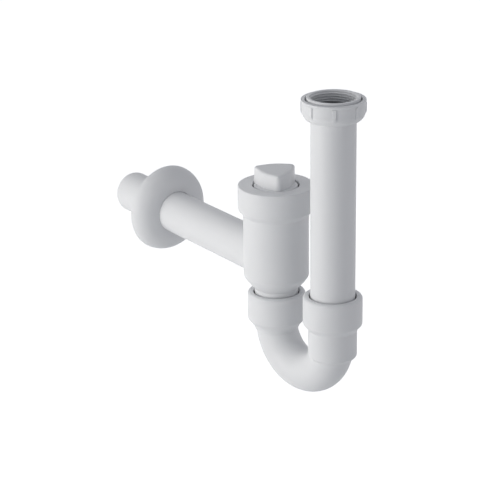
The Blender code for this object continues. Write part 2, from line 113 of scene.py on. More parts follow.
def round_corners(corners):
    """Bevels the corners that have a rounding."""
    for start in sorted({corner[2] for corner in corners if corner[2]}):
        select_corners([corner for corner in corners if corner[2] == start])
        bpy.ops.mesh.bevel(
            offset_type="OFFSET", offset=start * MM, segments=CORNER_SEGMENTS, affect="VERTICES"
        )


print("each rounded corner has", CORNER_SEGMENTS, "segments")

# %% [markdown]
# ## Turning it
#
# Spin sweeps the section about the Z axis like clay on a wheel, and the doubled seam is merged.
# The normals are recalculated afterwards, because a spin can leave them pointing inwards. A Screw
# modifier would turn it too, but spin leaves a plain mesh that the next tool can work on.

# %% The wheel
TURN_STEPS = 112


def close_solid():
    """Merges doubled points, points every face outwards and leaves edit mode."""
    bpy.ops.mesh.select_all(action="SELECT")
    bpy.ops.mesh.remove_doubles(threshold=TOUCH)
    bpy.ops.mesh.normals_make_consistent(inside=False)
    bpy.ops.object.mode_set(mode="OBJECT")


def spin_solid():
    """Sweeps the section in edit mode once about the Z axis and closes it."""
    bpy.ops.mesh.select_all(action="SELECT")
    bpy.ops.mesh.spin(steps=TURN_STEPS, angle=math.tau, center=(0, 0, 0), axis=(0, 0, 1))
    close_solid()


def turned(name, corners):
    """A solid of revolution about the Z axis."""
    piece = draw_section(name, corners)
    round_corners(corners)
    spin_solid()
    return piece


print("a full turn takes", TURN_STEPS, "steps")

# %% [markdown]
# ## Putting it in its place
#
# A turned solid stands at the origin of the scene. It is moved and turned like any object, and
# the transform is applied, so that its place is in its mesh and its object stays at the origin.
# All the pieces then share one origin, which is the centre of the outlet pipe's end at the wall.

# %% Picking and placing
def pick(piece):
    """Makes a piece the only selected and active object."""
    bpy.ops.object.select_all(action="DESELECT")
    piece.select_set(True)
    bpy.context.view_layer.objects.active = piece


def put(piece, location=(0, 0, 0), turn=(0, 0, 0)):
    """Moves and turns a piece, in millimetres and degrees, and applies the transform."""
    pick(piece)
    piece.location = Vector(location) * MM
    piece.rotation_euler = [math.radians(angle) for angle in turn]
    bpy.ops.object.transform_apply(location=True, rotation=True, scale=True)
    return piece


print("places are given in millimetres:", MM, "m each")

# %% [markdown]
# ## Joining and hollowing
#
# A moulded piece is one shell, so its rounds are united and its bores are cut with Boolean
# modifiers that are applied at once. The tool of each cut goes, and edges over the sharp angle
# stay crisp. A finished shell is attached to the body it moves with, and the CAD piece it stands
# for is hidden.

# %% Booleans
SHARP_DEGREES = 32


def combine(piece, tool, operation):
    """Applies one Boolean of tool on piece and removes the tool."""
    modifier = piece.modifiers.new(operation, "BOOLEAN")
    modifier.operation = operation
    modifier.solver = "EXACT"
    modifier.object = tool
    pick(piece)
    bpy.ops.object.modifier_apply(modifier=modifier.name)
    bpy.data.objects.remove(tool, do_unlink=True)


def finish_shell(piece, body, node):
    """Smooth shading with crisp corners, and the piece's place in the frame."""
    pick(piece)
    bpy.ops.object.shade_smooth_by_angle(angle=math.radians(SHARP_DEGREES))
    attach(piece, body)
    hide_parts(node)
    size = [round(side / MM, 1) for side in piece.dimensions]
    print(piece.name, "has", len(piece.data.polygons), "faces and measures", size, "mm")


print("edges over", SHARP_DEGREES, "degrees stay crisp")

# %% [markdown]
# ## The trap body
#
# The body is a chamber with a wider collar on top and the neck of the outlet below. Its bottom
# bellies a little on the way to the neck: one corner with a long rounding draws that. The outlet
# pipe is a second section, laid along X and united with the chamber. The real one is moulded on
# in the same way, so no gap shows where they meet. Every pipe end that pushes into a socket
# tapers a little towards its tip.

# %% Body and outlet pipe
BODY_AXIS = (245.5, 0, 0)
ALONG_X = (0, 90, 0)
PIPE_R = 20.0
TIP_R = 19.3
TIP = 2.5
NECK_END, NECK_TOP = -56, -25.3
CHAMBER_R = 29.9
CHAMBER_FROM = -13.7
COLLAR_R = 34.5
COLLAR_FROM, COLLAR_FULL, COLLAR_TOP = 45.2, 50.2, 73

body_shell = turned(
    "body_shell",
    [
        (0, NECK_END, 0),
        (TIP_R, NECK_END, 0),
        (PIPE_R, NECK_END + TIP, 0),
        (PIPE_R, NECK_TOP, 0.8),
        (25.86, -20.28, 6.4),
        (CHAMBER_R, CHAMBER_FROM, 0.9),
        (CHAMBER_R, COLLAR_FROM, 0.8),
        (COLLAR_R, COLLAR_FULL, 1.2),
        (COLLAR_R, COLLAR_TOP, 1.2),
        (0, COLLAR_TOP, 0),
    ],
)
put(body_shell, BODY_AXIS)
outlet_pipe = turned(
    "outlet_pipe",
    [
        (0, 0, 0),
        (TIP_R, 0, 0),
        (PIPE_R, TIP, 0.8),
        (PIPE_R, BODY_AXIS[0], 0),
        (0, BODY_AXIS[0], 0),
    ],
)
combine(body_shell, put(outlet_pipe, turn=ALONG_X), "UNION")
print("body and pipe:", len(body_shell.data.vertices), "points")

# %% [markdown]
# ## Hollowing the body
#
# Three tools follow the inside. The first is the chamber, with a wall left for the plug's socket.
# The second is that socket: a mouth, the groove of its lip seal, the guide and a ledge to seat
# on. The third is the bore of the outlet pipe. Each tool reaches past the face that it opens,
# because a Boolean may leave a skin where two faces lie in one plane. The mouth's slope runs on
# above the rim for the same reason, and so the rim gets a softened inner edge.

# %% The bores of the body
PIPE_BORE_R = 18.2
BODY_WALL = 2
GUIDE_R = 20.35
MOUTH_R = 21.25
MOUTH_ROUND = 0.6
GROOVE_R = 24.65
GROOVE_TOP, GROOVE_BOTTOM = 3.6, 11.6
SOCKET_R = 26.65
SEAT_R = 18.35
LEDGE_BOTTOM, SEAT_Z = 42.9, 46.7
CHAMBER_TOP = 69
NECK_CUT, WALL_CUT = NECK_END - 2, -1.8


def socket_bore(top):
    """Corners of a push-fit socket from above its rim down to the start of the guide."""
    return [
        (0, top + MOUTH_ROUND, 0),
        (MOUTH_R + 2 * MOUTH_ROUND, top + MOUTH_ROUND, 0),
        (MOUTH_R, top - MOUTH_ROUND, 0.3),
        (MOUTH_R, top - GROOVE_TOP, 0),
        (GROOVE_R, top - GROOVE_TOP, 0),
        (GROOVE_R, top - GROOVE_BOTTOM, 0),
        (GUIDE_R, top - GROOVE_BOTTOM, 0),
    ]


chamber = turned(
    "chamber",
    [
        (0, NECK_CUT, 0),
        (PIPE_BORE_R, NECK_CUT, 0),
        (PIPE_BORE_R, NECK_TOP, 0),
        (23.9, -20.2, 6.4),
        (CHAMBER_R - BODY_WALL, CHAMBER_FROM, 0),
        (CHAMBER_R - BODY_WALL, COLLAR_FROM, 0),
        (COLLAR_R - BODY_WALL, COLLAR_FULL, 0),
        (COLLAR_R - BODY_WALL, CHAMBER_TOP, 0),
        (SOCKET_R, CHAMBER_TOP, 0),
        (SOCKET_R, SEAT_Z, 0),
        (SOCKET_R - BODY_WALL, SEAT_Z - BODY_WALL, 0),
        (0, SEAT_Z - BODY_WALL, 0),
    ],
)
combine(body_shell, put(chamber, BODY_AXIS), "DIFFERENCE")
ledge = [
    (GUIDE_R, SEAT_Z, 0),
    (SEAT_R, SEAT_Z, 0),
    (SEAT_R, LEDGE_BOTTOM, 0),
    (0, LEDGE_BOTTOM, 0),
]
plug_socket = turned("plug_socket", socket_bore(COLLAR_TOP) + ledge)
combine(body_shell, put(plug_socket, BODY_AXIS), "DIFFERENCE")
outlet_bore = turned(
    "outlet_bore",
    [
        (0, WALL_CUT, 0),
        (PIPE_BORE_R, WALL_CUT, 0),
        (PIPE_BORE_R, BODY_AXIS[0], 0),
        (0, BODY_AXIS[0], 0),
    ],
)
combine(body_shell, put(outlet_bore, turn=ALONG_X), "DIFFERENCE")
finish_shell(body_shell, "trap_body", "trap_body")

# %% [markdown]
# ## The cleaning plug
#
# The plug is a hollow spigot with a closed top, and it lifts out to clean the trap. Its grip has
# three rounded corners, so that wet fingers can turn it. A three-sided circle is the start: a
# vertex bevel rounds the corners, a subdivision adds points to the sides, and To Sphere pushes
# those out a little, so the sides swell as in the photograph.

# %% The spigot and the outline of its grip
PLUG_BOTTOM = 47
PLUG_BORE_R = 18
PLUG_TOP = COLLAR_TOP
PLUG_CEILING = PLUG_TOP - 2
GRIP_TRIANGLE_R = 25.6
GRIP_CORNER = 6.6
GRIP_CORNER_SEGMENTS = 14
GRIP_SIDE_CUTS = 11
GRIP_SWELL = 0.42

plug_shell = turned(
    "plug_shell",
    [
        (0, PLUG_CEILING, 0),
        (PLUG_BORE_R, PLUG_CEILING, 1.0),
        (PLUG_BORE_R, PLUG_BOTTOM, 0),
        (TIP_R, PLUG_BOTTOM, 0),
        (PIPE_R, PLUG_BOTTOM + TIP, 0.8),
        (PIPE_R, PLUG_TOP, 1.5),
        (0, PLUG_TOP, 0),
    ],
)


def draw_grip(name, radius, corner, height):
    """The outline of the grip at a height, as a filled face in edit mode."""
    bpy.ops.object.select_all(action="DESELECT")
    bpy.ops.mesh.primitive_circle_add(
        vertices=3, radius=radius * MM, location=(0, 0, height * MM), fill_type="NOTHING"
    )
    grip = bpy.context.object
    grip.name = name
    bpy.ops.object.transform_apply(location=True)
    bpy.ops.object.mode_set(mode="EDIT")
    bpy.ops.mesh.bevel(
        offset_type="OFFSET", offset=corner * MM, segments=GRIP_CORNER_SEGMENTS, affect="VERTICES"
    )
    mesh = bmesh.from_edit_mesh(grip.data)
    longest = max(edge.calc_length() for edge in mesh.edges)
    bpy.ops.mesh.select_all(action="DESELECT")
    for edge in mesh.edges:
        if edge.calc_length() > 0.9 * longest:
            edge.select = True
    bmesh.update_edit_mesh(grip.data)
    bpy.ops.mesh.subdivide(number_cuts=GRIP_SIDE_CUTS)
    bpy.ops.mesh.select_all(action="SELECT")
    bpy.ops.transform.tosphere(value=GRIP_SWELL, center_override=(0, 0, height * MM))
    bpy.ops.mesh.edge_face_add()
    return grip


print("the spigot is", round(plug_shell.dimensions.z / MM, 1), "mm tall")

# %% [markdown]
# ## Raising the grip
#
# The outline is extruded up and drawn in a little, because a moulded grip needs draft to leave
# its mould. Its top is tipped by two degrees, as the photograph shows it, and its edge gets a
# generous bevel. The flat that is left rises in three small steps to a low crown, so that no hard
# line stays where the bevel ends.

# %% The solid grip
GRIP_TOP = 87.4
GRIP_DRAFT = 0.99
GRIP_SLOPE = math.radians(2.0)
GRIP_HINGE_Y = 10
GRIP_EDGE, GRIP_EDGE_SEGMENTS = 2.3, 7
GRIP_CROWN = [(0.8, 0.14), (0.69, 0.13), (0.45, 0.1)]
NEARLY_LEVEL = 0.998


def raise_grip(height, share):
    """Extrudes the selected face up and scales its top about the grip's own axis."""
    bpy.ops.mesh.extrude_region_move(TRANSFORM_OT_translate={"value": (0, 0, height * MM)})
    bpy.ops.transform.resize(value=(share, share, 1), center_override=(0, 0, 0))


grip = draw_grip("grip", GRIP_TRIANGLE_R, GRIP_CORNER, PLUG_TOP - 1)
raise_grip(GRIP_TOP - PLUG_TOP + 1, GRIP_DRAFT)
bpy.ops.transform.rotate(
    value=GRIP_SLOPE, orient_axis="X", center_override=(0, GRIP_HINGE_Y * MM, GRIP_TOP * MM)
)
bpy.ops.mesh.bevel(offset=GRIP_EDGE * MM, segments=GRIP_EDGE_SEGMENTS, affect="EDGES")
select_faces(
    lambda face: face.normal.z > NEARLY_LEVEL and face.calc_center_median().z > PLUG_TOP * MM
)
for share, rise in GRIP_CROWN:
    raise_grip(rise, share)
close_solid()
print("the grip has", len(grip.data.polygons), "faces")

# %% [markdown]
# ## Hollowing the grip
#
# Real grips are moulded hollow, with walls of one thickness, so that they cool without sinking
# in. The same outline, drawn smaller, is the tool that hollows the grip from below. Both are
# turned to the angle that the grip has in the photograph, and then the plug is complete.

# %% The plug put together
GRIP_TURN = 241.5
GRIP_WALL = 3
HOLLOW_BOTTOM, HOLLOW_TOP = 70, GRIP_TOP - 2

hollow = draw_grip("grip_hollow", GRIP_TRIANGLE_R - GRIP_WALL, GRIP_CORNER - 1, HOLLOW_BOTTOM)
raise_grip(HOLLOW_TOP - HOLLOW_BOTTOM, GRIP_DRAFT)
close_solid()
combine(plug_shell, put(grip, turn=(0, 0, GRIP_TURN)), "UNION")
combine(plug_shell, put(hollow, turn=(0, 0, GRIP_TURN)), "DIFFERENCE")
put(plug_shell, BODY_AXIS)
finish_shell(plug_shell, "cleaning_plug", "cleaning_plug")

# %% [markdown]
# ## The U-bend
#
# The bend holds the water that keeps the smell out. It could be a curve with a round profile, but
# a circle spun through half a turn about a level axis gives the same rings as a turned pipe. Its
# two ends are extruded up into the legs. It is all built in line with X, and turned afterwards to
# the small swivel that it has in the photograph.

# %% The bend and its legs
SPREAD = 74.6
BEND_Z = -59.1
BEND_STEPS = 80
BEND_R, BEND_LEG = 19.1, 26.0


def bend_pipe(name, radius, lift):
    """A half ring of solid pipe, with both ends lengthened upwards."""
    bpy.ops.object.select_all(action="DESELECT")
    bpy.ops.mesh.primitive_circle_add(
        vertices=TURN_STEPS, radius=radius * MM, location=(0, 0, BEND_Z * MM), fill_type="NGON"
    )
    pipe = bpy.context.object
    pipe.name = name
    bpy.ops.object.transform_apply(location=True)
    bpy.ops.object.mode_set(mode="EDIT")
    centre = (SPREAD / 2 * MM, 0, BEND_Z * MM)
    bpy.ops.mesh.spin(steps=BEND_STEPS, angle=math.pi, center=centre, axis=(0, 1, 0))
    select_faces(lambda face: abs(face.normal.z) > 0.99 and len(face.verts) > 4)
    bpy.ops.mesh.extrude_region_move(TRANSFORM_OT_translate={"value": (0, 0, lift * MM)})
    close_solid()
    return pipe


bend_shell = bend_pipe("bend_shell", BEND_R, BEND_LEG)
lowest = min(vertex.co.z for vertex in bend_shell.data.vertices)
print("lowest point of the bend, mm:", round(lowest / MM, 1))

# %% [markdown]
# ## The sockets
#
# Both ends of the bend open in a push-fit socket: a thick rim with a broad round on top, a
# shoulder below it, and on the inlet side a sleeve that lets the tube slide deep down. They are
# turned like the body and united with the bend, so the shoulder grows out of the pipe.

# %% Sockets and sleeve
NECK_RIM = -29.5
INLET_RIM = -12.6
RIM_ROUND = 2.8

neck_socket = turned(
    "neck_socket",
    [
        # the foot, inside the bend, then the slope of the shoulder and the thick rim
        (0, -66.8, 0),
        (19.4, -66.8, 0),
        (22.0, -61.1, 1.0),
        (SOCKET_R, -55.7, 0.7),
        (SOCKET_R, NECK_RIM, RIM_ROUND),
        (0, NECK_RIM, 0),
    ],
)
combine(bend_shell, neck_socket, "UNION")
inlet_socket = turned(
    "inlet_socket",
    [
        # the foot and the sleeve, then the shoulder and the rim as on the neck's side
        (0, -71.6, 0),
        (19.8, -71.6, 0),
        (22.0, -69.0, 0.7),
        (22.0, -44.2, 1.0),
        (SOCKET_R, -38.8, 0.7),
        (SOCKET_R, INLET_RIM, RIM_ROUND),
        (0, INLET_RIM, 0),
    ],
)
combine(bend_shell, put(inlet_socket, (SPREAD, 0, 0)), "UNION")
print("the bend with its sockets has", len(bend_shell.data.polygons), "faces")

# %% [markdown]
# ## Hollowing the bend
#
# The sockets take the same bore as the body's, down to the stop that a pushed-in pipe would
# reach. Then the bend is drawn once more, thinner, and cut out of the first. That order keeps the
# water's way open from one socket to the other.

# %% The bores of the bend
NECK_STOP = -60.5
INLET_STOP = -67.8
BEND_BORE_R, BORE_LEG = 17.3, 1.8
SWIVEL = 5.9

stop = [(GUIDE_R, NECK_STOP, 0), (0, NECK_STOP, 0)]
combine(bend_shell, turned("neck_bore", socket_bore(NECK_RIM) + stop), "DIFFERENCE")
stop = [(GUIDE_R, INLET_STOP, 0), (0, INLET_STOP, 0)]
inlet_bore = turned("inlet_bore", socket_bore(INLET_RIM) + stop)
combine(bend_shell, put(inlet_bore, (SPREAD, 0, 0)), "DIFFERENCE")
combine(bend_shell, bend_pipe("bend_bore", BEND_BORE_R, BORE_LEG), "DIFFERENCE")
put(bend_shell, BODY_AXIS, (0, 0, SWIVEL))
finish_shell(bend_shell, "u_bend", "u_bend")

# %% [markdown]
# ## The inlet tube
#
# The tube is the plainest piece: one long section with a collar at its top for the gasket, a
# small bead that keeps the nut from falling off, and a tapered end that finds its way through the
# seal. Its section is closed and stays off the axis, so the spin gives the wall and the bore at
# once.

# %% The tube
INLET_AXIS = (
    BODY_AXIS[0] + SPREAD * math.cos(math.radians(SWIVEL)),
    SPREAD * math.sin(math.radians(SWIVEL)),
    0,
)
TUBE_END, TUBE_TOP = -54.2, 156.2
FLANGE_R, FLANGE_BOTTOM = 21.9, 153.6
BEAD_R, BEAD_Z = 20.7, 151.9

tube_shell = turned(
    "tube_shell",
    [
        (TIP_R, TUBE_END, 0),
        (PIPE_BORE_R, TUBE_END, 0),
        (PIPE_BORE_R, TUBE_TOP, 0),
        (FLANGE_R, TUBE_TOP, 0.4),
        (FLANGE_R, FLANGE_BOTTOM, 0.4),
        (PIPE_R, FLANGE_BOTTOM, 0.3),
        (PIPE_R, 152.4, 0),
        (BEAD_R, BEAD_Z, 0.2),
        (PIPE_R, 151.4, 0),
        (PIPE_R, TUBE_END + TIP, 0.8),
    ],
)
put(tube_shell, INLET_AXIS, (0, 0, SWIVEL))
finish_shell(tube_shell, "inlet_tube", "inlet_tube")

# %% [markdown]
# ## The union nut
#
# The nut draws the tube up against the basin waste. It has an inner ring for the thread, a
# moulded groove round it that keeps the walls even, and an outer skirt with eight low ribs to
# grip. All but the ribs and the thread is round, so one closed section gives the whole of it.

# %% The nut's section
THREAD_R = 19.475

nut_shell = turned(
    "nut_shell",
    [
        # the lip that catches under the tube's collar, with a notch for the tube's bead
        (20.3, 153.3, 0),
        (20.3, 152.7, 0),
        (21.0, BEAD_Z, 0),
        (20.3, 151.1, 0),
        (20.3, 150.5, 0.2),
        # the outside of the skirt, from its rounded foot to the rim
        (24.0, 150.5, 0.6),
        (26.7, 153.3, 1.4),
        (27.5, 156.6, 0.9),
        (27.55, 166.2, 0.9),
        (28.3, 167.0, 0.3),
        (28.3, 168.4, 0.6),
        # the moulded groove, and the inner ring that stands a little higher than the skirt
        (24.9, 168.4, 0.5),
        (24.9, 163.8, 0.6),
        (23.3, 163.8, 0.6),
        (23.3, 170.3, 0.4),
        (20.9, 170.3, 0.4),
        # the bore for the thread, and below it the room for the collar and the gasket
        (THREAD_R, 167.6, 0.3),
        (THREAD_R, 159.7, 0.2),
        (22.25, 159.7, 0),
        (22.25, 153.3, 0),
    ],
)
print("the nut's skirt is", round(nut_shell.dimensions.x / MM, 1), "mm across")

# %% [markdown]
# ## One rib
#
# A rib is a narrow block that stands mostly inside the skirt, so the union leaves only its face.
# Its lower end is extruded down and inwards, to follow the skirt's foot and run out in it. The
# slanted end gets a small bevel all round, so that it blends into the foot, and the upright edges
# stay crisp, as the photograph shows them.

# %% The block of a rib
RIB_WIDTH = 2.8
RIB_R = 28.38
RIB_ROOT_R = 25.0
RIB_TOP, RIB_BEND, RIB_BOTTOM = 165.6, 157.4, 152.6
RIB_SLANT = 2.3
RIB_EDGE, RIB_EDGE_SEGMENTS = 0.25, 3


bpy.ops.object.select_all(action="DESELECT")
bpy.ops.mesh.primitive_cube_add(
    size=MM,
    location=((RIB_R + RIB_ROOT_R) / 2 * MM, 0, (RIB_TOP + RIB_BEND) / 2 * MM),
    scale=(RIB_R - RIB_ROOT_R, RIB_WIDTH, RIB_TOP - RIB_BEND),
)
rib = bpy.context.object
rib.name = "rib"
bpy.ops.object.transform_apply(location=True, scale=True)
bpy.ops.object.mode_set(mode="EDIT")
select_faces(lambda face: face.normal.z < -0.99)
bpy.ops.mesh.extrude_region_move(
    TRANSFORM_OT_translate={"value": (-RIB_SLANT * MM, 0, (RIB_BOTTOM - RIB_BEND) * MM)}
)
select_faces(lambda face: 0.8 < face.normal.x < 0.99)
bpy.ops.mesh.bevel(offset=RIB_EDGE * MM, segments=RIB_EDGE_SEGMENTS, affect="EDGES")
bpy.ops.object.mode_set(mode="OBJECT")
print("one rib has", len(rib.data.polygons), "faces")

# %% [markdown]
# ## Eight ribs
#
# The rib is copied every 45 degrees, each copy with its own mesh, and the first stands at the
# small angle that the photograph shows. The eight are united with the nut one after the other.

# %% The ribs round the nut
RIB_COUNT = 8
RIB_TURN = 2.6

ribs = []
for number in range(RIB_COUNT):
    pick(rib)
    bpy.ops.object.duplicate()
    copy = bpy.context.object
    ribs.append(put(copy, turn=(0, 0, RIB_TURN + number * 360 / RIB_COUNT)))
bpy.data.objects.remove(rib, do_unlink=True)
for copy in ribs:
    combine(nut_shell, copy, "UNION")
print(RIB_COUNT, "ribs united with the nut")

# %% [markdown]
# ## The thread
#
# The nut takes a pipe thread G 1 1/4, with a turn every 2.309 mm and flanks that meet at 55
# degrees. A bump in the material could suggest it, but its edge shows in the photograph, so it is
# modelled. The profile of its groove is a small wedge with a blunt tip. Its base lies inside the
# bore, so that the cut leaves no skin.

# %% The profile of the groove
PITCH = 2.309
HALF_FLANK_DEGREES = 27.5
THREAD_DEPTH = 1.48
THREAD_BASE = 0.35
THREAD_TIP = 0.15

flank = math.tan(math.radians(HALF_FLANK_DEGREES))
half_width = (THREAD_DEPTH + THREAD_BASE + THREAD_TIP) * flank
half_tip = THREAD_TIP * flank
profile = [
    (THREAD_R - THREAD_BASE, -half_width, 0),
    (THREAD_R + THREAD_DEPTH, -half_tip, 0),
    (THREAD_R + THREAD_DEPTH, half_tip, 0),
    (THREAD_R - THREAD_BASE, half_width, 0),
]
coil = draw_section("coil", profile)
bpy.ops.object.mode_set(mode="OBJECT")
print("profile of the groove:", [(round(r, 2), round(h, 2)) for r, h, _ in profile])

# %% [markdown]
# ## Winding the coil
#
# The Screw modifier sweeps the little profile round and up at once. It leaves both ends open, so
# the two rings of border edges are filled before the coil may cut anything. The coil is cut out
# of the nut, and its last turn runs out through the top, as a moulded thread does.

# %% The coil becomes the thread
THREAD_START = 158.6
THREAD_TURNS = 6
COIL_STEPS = 72

screw = coil.modifiers.new("Screw", "SCREW")
screw.axis = "Z"
screw.angle = math.tau
screw.screw_offset = PITCH * MM
screw.iterations = THREAD_TURNS
screw.steps = screw.render_steps = COIL_STEPS
pick(coil)
bpy.ops.object.modifier_apply(modifier=screw.name)
bpy.ops.object.mode_set(mode="EDIT")
bpy.ops.mesh.select_all(action="SELECT")
bpy.ops.mesh.fill_holes(sides=0)
close_solid()
mesh = bmesh.new()
mesh.from_mesh(coil.data)
print("open edges of the coil:", sum(not edge.is_manifold for edge in mesh.edges))
mesh.free()
combine(nut_shell, put(coil, (0, 0, THREAD_START)), "DIFFERENCE")
put(nut_shell, INLET_AXIS, (0, 0, SWIVEL))
finish_shell(nut_shell, "union_nut", "union_nut")

# %% [markdown]
# ## The wall rosette
#
# The rosette is a shallow dome that hides the hole in the wall. Its dome is a quarter of an
# ellipse: a vertex bevel in percent, over the whole of both edges, draws exactly that, inside and
# outside. A short hub slides on the outlet pipe with a little play, so in the photograph the
# rosette hangs slightly askew. It is tipped about the middle of its hub, where it keeps clear of
# the pipe.

# %% The dome
ROSETTE_X = 62
ROSETTE_OFFSET = 0.25
ROSETTE_TILT = (0, 1.4, 2.8)
ROSETTE_R, ROSETTE_INNER_R = 42.4, 40.75
DOME_TOP, DOME_CEILING = 17, 15
DOME_SEGMENTS = 24
LIP_R = 23.0
HUB_R, HUB_WALL = 20.35, 1.5
HUB_BOTTOM, HUB_MIDDLE = 8, 12.5


def round_whole(corner):
    """Turns a corner into a quarter ellipse over the whole of both its edges."""
    select_corners([corner])
    bpy.ops.mesh.bevel(
        offset_type="PERCENT", offset_pct=100, segments=DOME_SEGMENTS, affect="VERTICES"
    )


inner_corner = (ROSETTE_INNER_R, DOME_CEILING, 0)
outer_corner = (ROSETTE_R, DOME_TOP, 0)
corners = [
    (LIP_R + 0.5, DOME_CEILING, 0),
    inner_corner,
    (ROSETTE_INNER_R, 0, 0),
    (ROSETTE_R, 0, 0),
    outer_corner,
    (LIP_R, DOME_TOP, 0),
    (HUB_R, DOME_TOP, 0),
    (HUB_R, 14.6, 0),
    (HUB_R, HUB_BOTTOM, 0),
    (HUB_R + HUB_WALL, HUB_BOTTOM, 0),
    (HUB_R + HUB_WALL, DOME_CEILING, 0),
]
rosette_shell = draw_section("rosette_shell", corners)
round_whole(inner_corner)
round_whole(outer_corner)
spin_solid()
put(rosette_shell, (-HUB_MIDDLE, 0, 0), ALONG_X)
put(rosette_shell, (ROSETTE_X + HUB_MIDDLE, ROSETTE_OFFSET, 0), ROSETTE_TILT)
finish_shell(rosette_shell, "wall_rosette", "wall_rosette")

# %% [markdown]
# ## The rubber
#
# Each socket holds a lip seal in its groove: a ring with a thin lip that leans down on the pipe.
# The gasket lies flat on the tube's collar, and the basin waste is drawn down on it. Almost
# nothing of the rubber shows in the photograph, but the plug and the pipes can be drawn out.

# %% Seals and gasket
def lip_seal(name, top, axis, body, node):
    """A ring with a leaning lip that fills the groove below a socket's rim."""
    seal = turned(
        name,
        [
            # the ring's outside and top, just clear of the groove
            (24.35, top - 11.3, 0.3),
            (24.35, top - 3.9, 0.3),
            (21.4, top - 3.9, 0.3),
            # the lip's inner side, which leans towards the pipe
            (20.6, top - 5.0, 0.2),
            (20.3, top - 10.2, 0.2),
            (20.6, top - 11.3, 0.2),
            # the hollow behind the lip
            (21.4, top - 11.0, 0),
            (22.85, top - 6.1, 0.2),
            (22.85, top - 11.3, 0.2),
        ],
    )
    put(seal, axis)
    finish_shell(seal, body, node)
    return seal


GASKET_BORE_R, GASKET_R = 16.775, 19.175
GASKET_BOTTOM, GASKET_TOP = 156.5, 159.0
GASKET_EDGE = 0.3

rubber = [
    lip_seal("plug_seal_ring", COLLAR_TOP, BODY_AXIS, "plug_seal", "plug_seal"),
    lip_seal("neck_seal_ring", NECK_RIM, BODY_AXIS, "neck_seal", "neck_seal"),
    lip_seal("inlet_seal_ring", INLET_RIM, INLET_AXIS, "inlet_seal", "inlet_seal"),
]
gasket_ring = turned(
    "gasket_ring",
    [
        (GASKET_BORE_R, GASKET_BOTTOM, GASKET_EDGE),
        (GASKET_R, GASKET_BOTTOM, GASKET_EDGE),
        (GASKET_R, GASKET_TOP, GASKET_EDGE),
        (GASKET_BORE_R, GASKET_TOP, GASKET_EDGE),
    ],
)
put(gasket_ring, INLET_AXIS)
finish_shell(gasket_ring, "inlet_tube", "inlet_gasket")
rubber.append(gasket_ring)

# %% [markdown]
# ## A moulded surface
#
# Plastic and rubber both come out of a mould, and neither is perfectly even. One node group makes
# what they share: a colour that drifts a little from place to place, a roughness with faint
# cloudy patches, and a very fine grain as a height. An image could hold all this too, but noise
# has no seams and fits every piece.

# %% The moulded surface
CLOUD_SCALE, CLOUD_DETAIL = 28, 3
GRAIN_SCALE, GRAIN_DETAIL = 2200, 2
PATCH_DEPTH = 0.10


def moulded_surface():
    """A node group with the colour, roughness and height of a moulded surface."""
    group = bpy.data.node_groups.new("Moulded surface", "ShaderNodeTree")
    group.interface.new_socket("Colour", in_out="INPUT", socket_type="NodeSocketColor")
    group.interface.new_socket("Shade", in_out="INPUT", socket_type="NodeSocketColor")
    group.interface.new_socket("Roughness", in_out="INPUT", socket_type="NodeSocketFloat")
    group.interface.new_socket("Colour", in_out="OUTPUT", socket_type="NodeSocketColor")
    group.interface.new_socket("Roughness", in_out="OUTPUT", socket_type="NodeSocketFloat")
    group.interface.new_socket("Height", in_out="OUTPUT", socket_type="NodeSocketFloat")
    nodes, links = group.nodes, group.links
    inside = nodes.new("NodeGroupInput")
    outside = nodes.new("NodeGroupOutput")
    place = nodes.new("ShaderNodeTexCoord")
    cloud = nodes.new("ShaderNodeTexNoise")
    cloud.inputs["Scale"].default_value = CLOUD_SCALE
    cloud.inputs["Detail"].default_value = CLOUD_DETAIL
    grain = nodes.new("ShaderNodeTexNoise")
    grain.inputs["Scale"].default_value = GRAIN_SCALE
    grain.inputs["Detail"].default_value = GRAIN_DETAIL
    blend = nodes.new("ShaderNodeMix")
    blend.data_type = "RGBA"
    patches = nodes.new("ShaderNodeMath")
    patches.operation = "MULTIPLY_ADD"
    patches.inputs[1].default_value = PATCH_DEPTH
    lower = nodes.new("ShaderNodeMath")
    lower.operation = "SUBTRACT"
    lower.inputs[1].default_value = PATCH_DEPTH / 2
    for texture in (cloud, grain):
        links.new(place.outputs["Object"], texture.inputs["Vector"])
    links.new(cloud.outputs["Fac"], blend.inputs["Factor"])
    links.new(inside.outputs["Colour"], blend.inputs["A"])
    links.new(inside.outputs["Shade"], blend.inputs["B"])
    links.new(inside.outputs["Roughness"], lower.inputs[0])
    links.new(cloud.outputs["Fac"], patches.inputs[0])
    links.new(lower.outputs[0], patches.inputs[2])
    links.new(blend.outputs["Result"], outside.inputs["Colour"])
    links.new(patches.outputs[0], outside.inputs["Roughness"])
    links.new(grain.outputs["Fac"], outside.inputs["Height"])
    return group


surface = moulded_surface()
print("the group has", len(surface.nodes), "nodes")

# %% [markdown]
# ## White plastic and black rubber
#
# White pipe plastic lets some light in and out again close by, which softens creases and
# brightens the thin gaps. A little subsurface light does that, and black rubber has none. The
# gloss is weaker than that of clear plastic, because white surroundings are reflected in it. Both
# materials use the group with values of their own, and what is the same all over the surface is
# set on the shader itself.

# %% The two materials
PLASTIC_IOR = 1.49
GLOSS_LEVEL = 0.22
GLOW_REACH = 1.0
GRAIN_HEIGHT = 0.05


